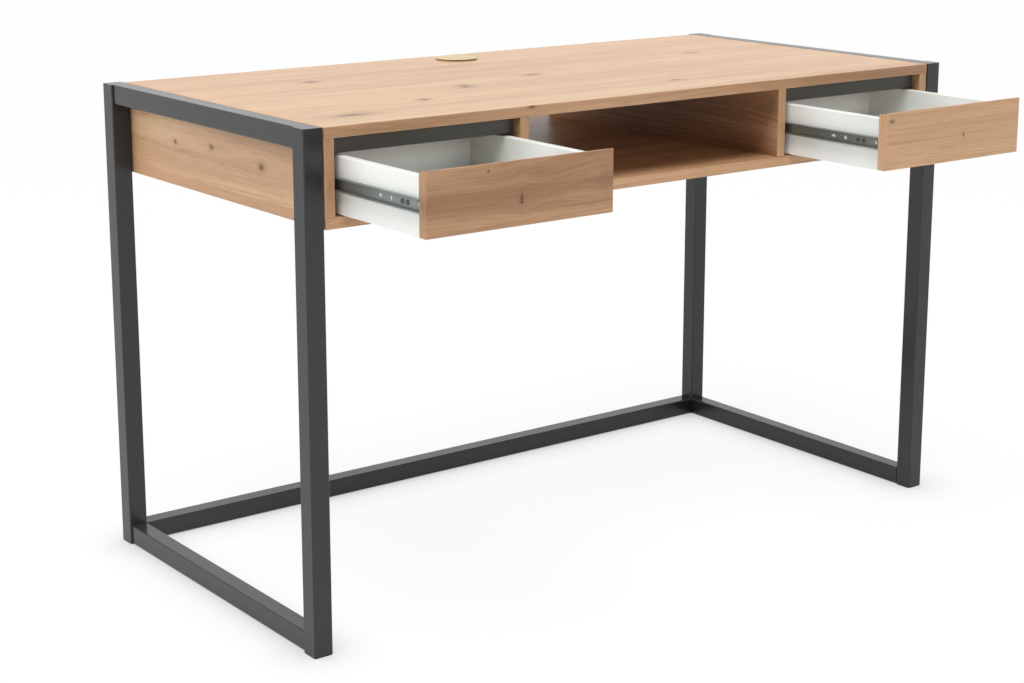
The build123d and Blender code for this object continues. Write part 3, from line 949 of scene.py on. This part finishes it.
class DESK_OT_slides(bpy.types.Operator):
    """Zinc plating on the slide members and their ball cages, and round balls between them"""

    bl_idname = "desk.slides"
    bl_label = "Drawer slides"

    balls_in_row = 4

    def execute(self, context):
        colours = context.scene.desk_colours
        zinc = plated_finish(
            "slide_zinc", colours.zinc, roughness=0.36, marks=(900.0, 9.0, 900.0), metal=0.78
        )
        give(zinc, SLIDE_NODES)
        steel = plated_finish("ball_steel", colours.bright, roughness=0.14, marks=(600.0, 600.0, 600.0))
        for drawer in DRAWERS:
            for side in SIDES:
                node = f"{drawer}_{side}_slide_balls"
                add_piece(f"{node}_round", self.balls(node), steel, f"{drawer}_cages", [node])
        return {"FINISHED"}

    def balls(self, node):
        """Balls in two rows; each is (r sin s cos t, r sin s sin t, -r cos s)."""
        low, high, middle = box_of(node)
        radius = (high[0] - low[0]) / 2
        steps = np.linspace(0, np.pi, BALL_STEPS)
        ball = turned(radius * np.sin(steps), -radius * np.cos(steps), BALL_TURNS)
        along = np.linspace(low[1] + radius, high[1] - radius, self.balls_in_row)
        levels = (low[2] + radius, high[2] - radius)
        return [placed(ball, (middle[0], y, z), (0, 0, 1)) for y in along for z in levels]


class DESK_OT_fasteners(bpy.types.Operator):
    """Slide screws with a cross recess, frame bolts with a six-sided recess, and the stretcher screws"""

    bl_idname = "desk.fasteners"
    bl_label = "Screws and bolts"

    # Distances of the screws from the front end of their slide member
    drawer_places = (0.032, 0.044, 0.268)
    cabinet_places = (0.100, 0.268)

    def execute(self, context):
        colours, sizes = context.scene.desk_colours, context.scene.desk_sizes
        plating = plated_finish(
            "fastener_plating", colours.bright, roughness=0.26, marks=(500.0, 500.0, 500.0)
        )
        head = sizes.screw_head
        cross = cross_recess(CROSS_REACH * head, CROSS_HALF_WIDTH * head, CROSS_DEPTH * sizes.screw_rise)
        screw = (sizes.screw_shank, sizes.screw_length, sizes.turns, cross)
        pan = headed(head, sizes.screw_rise, PAN_CROWN, *screw)
        flush = headed(head, sizes.sheet, FLUSH_CROWN, *screw)
        flush_screws = []
        for drawer in DRAWERS:
            pan_screws = []
            for side, way in (("left", 1), ("right", -1)):
                low, high, middle = box_of(f"{drawer}_{side}_drawer_slide")
                seat = (high[0] if way > 0 else low[0]) - way * sizes.sheet
                seats = [(seat, low[1] + y, middle[2]) for y in self.drawer_places]
                pan_screws += [placed(pan, place, (-way, 0, 0)) for place in seats]
                low, high, middle = box_of(f"{drawer}_{side}_cabinet_slide")
                wall = low[0] if way > 0 else high[0]
                seats = [(wall, low[1] + y, middle[2]) for y in self.cabinet_places]
                flush_screws += [placed(flush, place, (way, 0, 0)) for place in seats]
            node = f"{drawer}_slide_screws"
            add_piece(f"{node}_turned", pan_screws, plating, drawer, [node])
        node = "cabinet_slide_screws"
        add_piece(f"{node}_turned", flush_screws, plating, "desk", [node])
        self.stretcher_screws(pan, plating, sizes)
        self.frame_bolts(plating, sizes)
        return {"FINISHED"}

    def stretcher_screws(self, pan, plating, sizes):
        """A pan-head screw near each end of the stretcher, its head to the back."""
        low, high, middle = box_of("stretcher_screws")
        ends = (low[0] + sizes.screw_head, high[0] - sizes.screw_head)
        screws = [placed(pan, (x, high[1] - sizes.screw_rise, middle[2]), (0, 1, 0)) for x in ends]
        add_piece("stretcher_screws_turned", screws, plating, "desk", ["stretcher_screws"])

    def frame_bolts(self, plating, sizes):
        """Button-head bolts, heads to the inside of the drawer bays."""
        low, high, middle = box_of("frame_bolts")
        inside = box_of("right_side_panel")[LOW][0]
        head, rise = sizes.bolt_head, sizes.bolt_rise
        key = six_sided_recess(KEY_REACH * head, KEY_DEPTH * rise)
        bolt = headed(head, rise, BUTTON_CROWN, sizes.bolt_shank, high[0] - inside, sizes.turns, key)
        rows = (low[1] + head, high[1] - head)
        bolts = [placed(bolt, (way * inside, y, middle[2]), (-way, 0, 0)) for y in rows for way in (-1, 1)]
        add_piece("frame_bolts_turned", bolts, plating, "desk", ["frame_bolts"])


class DESK_OT_outlet(bpy.types.Operator):
    """Lid and ring of the cable outlet in the desk top"""

    bl_idname = "desk.outlet"
    bl_label = "Cable outlet"

    # Steps of the lid's rim and top, how the top's steps crowd to the middle, and the plug's eased edge
    rim_steps = 8
    top_steps = 14
    crowding = 0.8
    plug_ease = 0.0006

    def execute(self, context):
        colours, sizes = context.scene.desk_colours, context.scene.desk_sizes
        plastic = coated_finish(
            "outlet_plastic", colours.outlet, roughness=0.52, grains=1100.0, relief=0.06, gloss=0.3
        )
        # The outlet is wider than a screw, so it gets twice as many points round it
        turns = 2 * sizes.turns
        low, high, middle = box_of("outlet_cap")
        underside = low[2] + sizes.lid_plug_depth
        lid = self.lid(sizes, (high[0] - low[0]) / 2, high[2] - underside, turns)
        lid = placed(lid, (*middle[:2], underside), (0, 0, 1))
        add_piece("outlet_lid", [lid], plastic, "outlet_cap", ["outlet_cap"])
        low, high, middle = box_of("outlet_sleeve")
        depth = high[2] - low[2] - sizes.ring_flange
        ring = self.ring(sizes, (high[0] - low[0]) / 2, depth, turns)
        ring = placed(ring, (*middle[:2], low[2] + depth), (0, 0, 1))
        add_piece("outlet_ring", [ring], plastic, "desk", ["outlet_sleeve"])
        return {"FINISHED"}

    def lid(self, sizes, reach, rise, turns):
        """A lid over a lifted round rim and a plug.

        Its top falls from the middle with the square of the radius, and its rim is part of a circle.
        """
        rim = sizes.lid_rim
        corner = np.linspace(-np.pi / 2, np.pi / 4, self.rim_steps)
        out = np.linspace(1, 0, self.top_steps)[1:] ** self.crowding
        edge_r = reach - rim / 2 + rim / 2 * np.cos(corner)
        edge_z = sizes.lid_lift + rim / 2 + rim / 2 * np.sin(corner)
        dome_r = edge_r[-1] * out
        dome_z = edge_z[-1] + (rise - edge_z[-1]) * (1 - out**2)
        plug, depth, ease = sizes.lid_plug, sizes.lid_plug_depth, self.plug_ease
        radius = np.concatenate(((0, plug - ease, plug, plug), edge_r, dome_r))
        height = np.concatenate(((-depth, -depth, ease - depth, 0), edge_z, dome_z))
        return turned(radius, height, turns)

    def ring(self, sizes, reach, depth, turns):
        """A ring with a thin flange on the desk top and eased edges: a closed profile carried round Z."""
        bore, body, flange = sizes.ring_bore, sizes.ring_body, sizes.ring_flange
        ease = flange / 3
        profile = np.array(
            (
                (bore + ease, -depth),
                (body - ease, -depth),
                (body, ease - depth),
                (body, 0),
                (reach - ease, 0),
                (reach, ease),
                (reach, flange - ease),
                (reach - ease, flange),
                (bore + ease, flange),
                (bore, flange - ease),
                (bore, ease - depth),
            )
        )
        return turned_ring(profile[:, 0], profile[:, 1], turns)


class DESK_OT_stage(bpy.types.Operator):
    """Pale floor, soft light and the camera"""

    bl_idname = "desk.stage"
    bl_label = "Stage"

    def execute(self, context):
        stage = context.scene.desk_stage
        context.scene.view_settings.view_transform = "Standard"
        self.floor(stage)
        self.sky(context.scene, stage)
        above = bpy.data.lights.new("light_overhead", "SUN")
        above.energy, above.angle = stage.overhead, stage.spread
        self.hang(above, OVERHEAD_PLACE, (0.0, 0.0, 0.0))
        for name, lamp in LAMPS.items():
            light = bpy.data.lights.new(f"lamp_{name}", "AREA")
            light.shape = "RECTANGLE"
            light.size, light.size_y = lamp.size
            light.energy = getattr(stage, name)
            self.hang(light, lamp.place, lamp.target)
        self.camera(context.scene, stage)
        return {"FINISHED"}

    def floor(self, stage):
        """A square floor, point (a, b, 0) on a small grid: white, with soft shade close to the desk."""
        line = np.linspace(-stage.floor, stage.floor, FLOOR_LINES)
        x, y = np.meshgrid(line, line)
        points = np.stack((x, y, np.zeros_like(x)), -1).reshape(-1, 3)
        step = np.arange(FLOOR_LINES - 1)
        corner = (step[:, None] * FLOOR_LINES + step[None, :]).reshape(-1)
        above = corner + FLOOR_LINES
        mesh = bpy.data.meshes.new("floor")
        mesh.from_pydata(points, [], np.stack((corner, corner + 1, above + 1, above), -1).tolist())
        material, n = new_finish("pale_floor")
        grit = n.noise(n.point(), FLOOR_GRIT)
        sockets = {"Color": n.blend(grit, FLOOR_DIM, FLOOR_PALE), "Normal": n.bump(grit, FLOOR_RELIEF)}
        plain = n.node("ShaderNodeBsdfDiffuse", None, sockets)
        settings, sockets = {"samples": CONTACT_SAMPLES}, {"Distance": stage.contact}
        close = n.node("ShaderNodeAmbientOcclusion", settings, sockets, output="Color")
        shaded = n.blend(stage.contact_depth, WHITE, close)
        white = n.node("ShaderNodeEmission", None, {"Color": shaded, "Strength": 1.0})
        shown = n.node("ShaderNodeMixShader", None, {0: n.seen() * FLOOR_WHITENESS, 1: plain, 2: white})
        n.node("ShaderNodeOutputMaterial", None, {"Surface": shown})
        mesh.materials.append(material)
        floor = bpy.data.objects.new("floor", mesh)
        bpy.context.scene.collection.objects.link(floor)

    def sky(self, scene, stage):
        """White to the camera and in reflections, a soft grey as a light."""
        scene.world = bpy.data.worlds.new("studio")
        scene.world.use_nodes = True
        n = Nodes(scene.world.node_tree)
        strength = stage.sky + n.seen() * (1.0 - stage.sky)
        light = n.node("ShaderNodeBackground", None, {"Color": (*WHITE, 1), "Strength": strength})
        n.node("ShaderNodeOutputWorld", None, {"Surface": light})

    def hang(self, light, place, target):
        """A light at a place, turned to a target; the camera and reflections see the white room instead."""
        lamp = bpy.data.objects.new(light.name, light)
        lamp.visible_camera = False
        lamp.visible_glossy = False
        lamp.location = place
        gaze = np.array(target) - np.array(place)
        flat = float(np.hypot(gaze[0], gaze[1]))
        lamp.rotation_euler = (math.atan2(flat, -gaze[2]), 0, math.atan2(gaze[1], gaze[0]) - math.pi / 2)
        bpy.context.scene.collection.objects.link(lamp)

    def camera(self, scene, stage):
        """The picture's camera: its lens is shifted down, so upright edges stay nearly upright."""
        lens = bpy.data.cameras.new("picture_camera")
        lens.lens = stage.lens
        lens.sensor_width = SENSOR_WIDTH
        lens.shift_y = stage.shift
        lens.dof.use_dof = False
        camera = bpy.data.objects.new("picture_camera", lens)
        camera.location = stage.camera
        camera.rotation_euler = (math.pi / 2 - stage.tilt, 0, -stage.heading)
        scene.collection.objects.link(camera)
        scene.camera = camera


# Panel and registration

GROUPS = {"desk_colours": DeskColours, "desk_sizes": DeskSizes, "desk_stage": DeskStage}
OPERATORS = (
    DESK_OT_boards,
    DESK_OT_frame,
    DESK_OT_drawers,
    DESK_OT_slides,
    DESK_OT_fasteners,
    DESK_OT_outlet,
    DESK_OT_stage,
)


class DESK_PT_panel(bpy.types.Panel):
    """The desk's steps and values"""

    bl_idname = "DESK_PT_panel"
    bl_label = "Writing desk"
    bl_space_type = "VIEW_3D"
    bl_region_type = "UI"
    bl_category = "Desk"

    def draw(self, context):
        for operator in OPERATORS:
            self.layout.operator(operator.bl_idname)
        for name, group in GROUPS.items():
            column = self.layout.column()
            for value in group.__annotations__:
                column.prop(getattr(context.scene, name), value)


CLASSES = (*GROUPS.values(), *OPERATORS, DESK_PT_panel)


def register():
    for member in CLASSES:
        bpy.utils.register_class(member)
    for name, group in GROUPS.items():
        setattr(bpy.types.Scene, name, PointerProperty(type=group))


def unregister():
    for name in GROUPS:
        delattr(bpy.types.Scene, name)
    for member in reversed(CLASSES):
        bpy.utils.unregister_class(member)


def main():
    register()
    bpy.ops.desk.boards()
    bpy.ops.desk.frame()
    bpy.ops.desk.drawers()
    bpy.ops.desk.slides()
    bpy.ops.desk.fasteners()
    bpy.ops.desk.outlet()
    bpy.ops.desk.stage()


if __name__ == "__main__":
    main()
